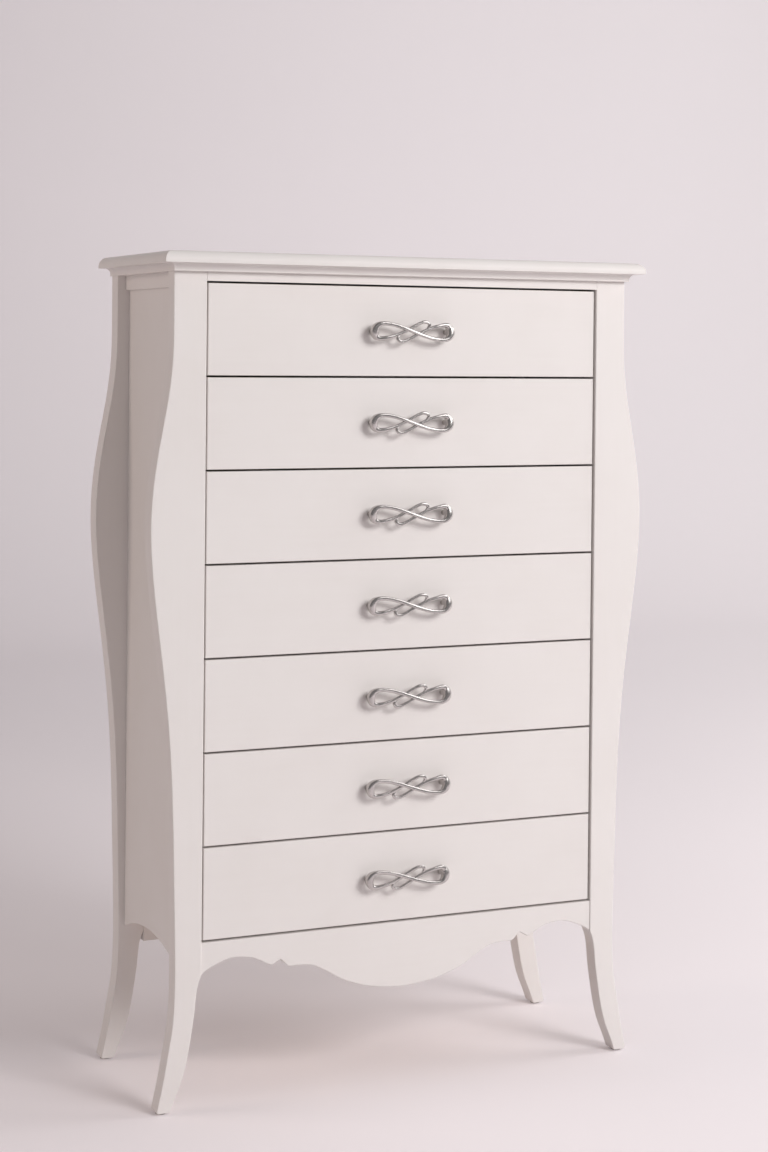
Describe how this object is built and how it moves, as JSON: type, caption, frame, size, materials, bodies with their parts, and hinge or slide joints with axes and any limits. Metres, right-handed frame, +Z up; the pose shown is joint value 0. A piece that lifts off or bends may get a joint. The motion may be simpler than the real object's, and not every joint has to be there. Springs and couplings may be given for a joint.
{
  "type": "chest of drawers",
  "caption": "tall narrow chest of drawers in white lacquer with bombe legs, moulded top, shaped apron and ribbon-shaped metal handles",
  "frame": {"origin": "on the floor, at the centre of the whole chest's bounding box", "axes": "+Z up, -Y out of the drawer fronts towards the user, +X to the right seen from the front"},
  "size_m": [0.845, 0.34, 1.298],
  "materials": {
    "white_lacquer": "warm white satin lacquer",
    "bare_wood": "clear-sealed light hardwood",
    "plywood": "sanded plywood",
    "satin_nickel": "satin nickel",
    "screw_steel": "bright zinc",
    "glide": "matte"
  },
  "bodies": {
    "case": {"top_board": "white_lacquer", "front_left_leg": "white_lacquer", "front_right_leg": "white_lacquer", "rear_left_leg": "white_lacquer", "rear_right_leg": "white_lacquer", "left_side_panel": "white_lacquer", "left_side_rail": "white_lacquer", "right_side_panel": "white_lacquer", "right_side_rail": "white_lacquer", "front_apron": "white_lacquer", "front_top_rail": "white_lacquer", "rear_apron": "white_lacquer", "rear_top_rail": "bare_wood", "back_panel": "plywood", "case_bottom": "plywood", "glue_blocks": "bare_wood", "drawer_runners": "bare_wood", "foot_pads": "glide"},
    "drawer_1": {"drawer_1_front": "white_lacquer", "drawer_1_sides": "bare_wood", "drawer_1_back": "bare_wood", "drawer_1_bottom": "plywood", "drawer_1_handle": "satin_nickel", "drawer_1_screws": "screw_steel"},
    "drawer_2": {"drawer_2_front": "white_lacquer", "drawer_2_sides": "bare_wood", "drawer_2_back": "bare_wood", "drawer_2_bottom": "plywood", "drawer_2_handle": "satin_nickel", "drawer_2_screws": "screw_steel"},
    "drawer_3": {"drawer_3_front": "white_lacquer", "drawer_3_sides": "bare_wood", "drawer_3_back": "bare_wood", "drawer_3_bottom": "plywood", "drawer_3_handle": "satin_nickel", "drawer_3_screws": "screw_steel"},
    "drawer_4": {"drawer_4_front": "white_lacquer", "drawer_4_sides": "bare_wood", "drawer_4_back": "bare_wood", "drawer_4_bottom": "plywood", "drawer_4_handle": "satin_nickel", "drawer_4_screws": "screw_steel"},
    "drawer_5": {"drawer_5_front": "white_lacquer", "drawer_5_sides": "bare_wood", "drawer_5_back": "bare_wood", "drawer_5_bottom": "plywood", "drawer_5_handle": "satin_nickel", "drawer_5_screws": "screw_steel"},
    "drawer_6": {"drawer_6_front": "white_lacquer", "drawer_6_sides": "bare_wood", "drawer_6_back": "bare_wood", "drawer_6_bottom": "plywood", "drawer_6_handle": "satin_nickel", "drawer_6_screws": "screw_steel"},
    "drawer_7": {"drawer_7_front": "white_lacquer", "drawer_7_sides": "bare_wood", "drawer_7_back": "bare_wood", "drawer_7_bottom": "plywood", "drawer_7_handle": "satin_nickel", "drawer_7_screws": "screw_steel"}
  },
  "joints": [
    {"name": "drawer_1_slide", "type": "slide", "parent": "case", "child": "drawer_1", "axis": [0, -1, 0], "range_m": [0, 0.19]},
    {"name": "drawer_2_slide", "type": "slide", "parent": "case", "child": "drawer_2", "axis": [0, -1, 0], "range_m": [0, 0.19]},
    {"name": "drawer_3_slide", "type": "slide", "parent": "case", "child": "drawer_3", "axis": [0, -1, 0], "range_m": [0, 0.19]},
    {"name": "drawer_4_slide", "type": "slide", "parent": "case", "child": "drawer_4", "axis": [0, -1, 0], "range_m": [0, 0.19]},
    {"name": "drawer_5_slide", "type": "slide", "parent": "case", "child": "drawer_5", "axis": [0, -1, 0], "range_m": [0, 0.19]},
    {"name": "drawer_6_slide", "type": "slide", "parent": "case", "child": "drawer_6", "axis": [0, -1, 0], "range_m": [0, 0.19]},
    {"name": "drawer_7_slide", "type": "slide", "parent": "case", "child": "drawer_7", "axis": [0, -1, 0], "range_m": [0, 0.19]}
  ]
}
